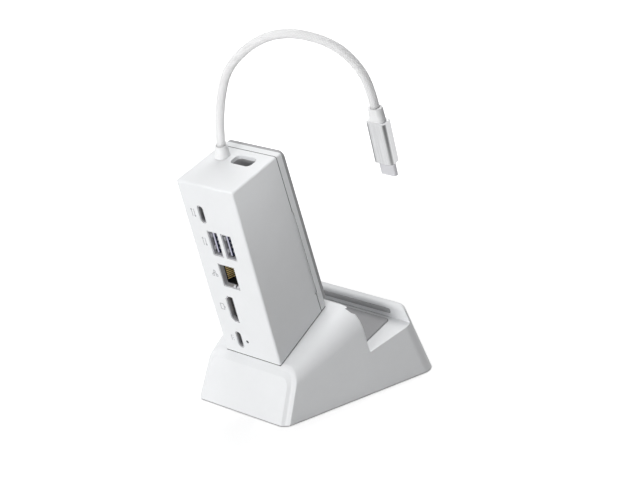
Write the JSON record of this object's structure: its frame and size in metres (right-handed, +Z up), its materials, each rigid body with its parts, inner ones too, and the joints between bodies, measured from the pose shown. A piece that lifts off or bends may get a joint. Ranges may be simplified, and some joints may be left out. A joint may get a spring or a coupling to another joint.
{
  "type": "handheld console dock",
  "caption": "Wedge-footed dock that holds a handheld console on a ledge, with a leaning port hub and a short captive braided lead ending in a plug.",
  "frame": {"origin": "on the table under the middle of the dock's box, without the lead and plug", "axes": "+Z up, ports face -Y and lean over it, the console stands on the +Y side, +X to the right of the ports"},
  "size_m": [0.1186, 0.0977, 0.1833],
  "materials": {
    "white_plastic": "white satin moulded plastic",
    "grey_silicone": "soft grey silicone",
    "foot_rubber": "dark moulded rubber",
    "white_rubber": "white flexible moulding",
    "lead_braid": "white braided sleeve",
    "port_steel": "bright rolled steel",
    "plug_aluminium": "bead blasted and anodised",
    "port_black": "black moulded insert",
    "port_blue": "dull blue moulded insert",
    "contact_gold": "gold plated",
    "board_green": "green solder mask",
    "chip_black": "black moulded package",
    "weight_steel": "dark coated steel",
    "screw_steel": "plated steel",
    "light_pipe": "frosted clear pipe"
  },
  "bodies": {
    "root": {"base_shell": "white_plastic", "base_bottom_plate": "white_plastic", "hub_shell": "white_plastic", "hub_back_cover": "white_plastic", "back_cushion": "grey_silicone", "ledge_pad": "grey_silicone", "lip_pad": "grey_silicone", "plug_park_cup": "grey_silicone", "rubber_foot_front_left": "foot_rubber", "rubber_foot_front_right": "foot_rubber", "rubber_foot_rear_left": "foot_rubber", "rubber_foot_rear_right": "foot_rubber", "cable_strain_relief": "white_rubber", "plug_boot": "white_rubber", "lead_header": "white_rubber", "cable_lead": "lead_braid", "lead_tail": "lead_braid", "usb_c_data_shell": "port_steel", "usb_a_left_shell": "port_steel", "usb_a_right_shell": "port_steel", "hdmi_shell": "port_steel", "usb_c_power_shell": "port_steel", "ethernet_shield": "port_steel", "plug_tip": "port_steel", "plug_sleeve": "plug_aluminium", "usb_c_data_tongue": "port_black", "usb_c_power_tongue": "port_black", "hdmi_tongue": "port_black", "ethernet_housing": "port_black", "plug_tip_insert": "port_black", "usb_a_left_tongue": "port_blue", "usb_a_right_tongue": "port_blue", "ethernet_contacts": "contact_gold", "main_board": "board_green", "hub_controller_chip": "chip_black", "network_chip": "chip_black", "network_transformer": "chip_black", "video_chip": "chip_black", "power_chip": "chip_black", "power_inductor": "chip_black", "base_weight": "weight_steel", "base_screws": "screw_steel", "hub_screws": "screw_steel", "board_screws": "screw_steel", "status_light": "light_pipe"}
  },
  "joints": []
}
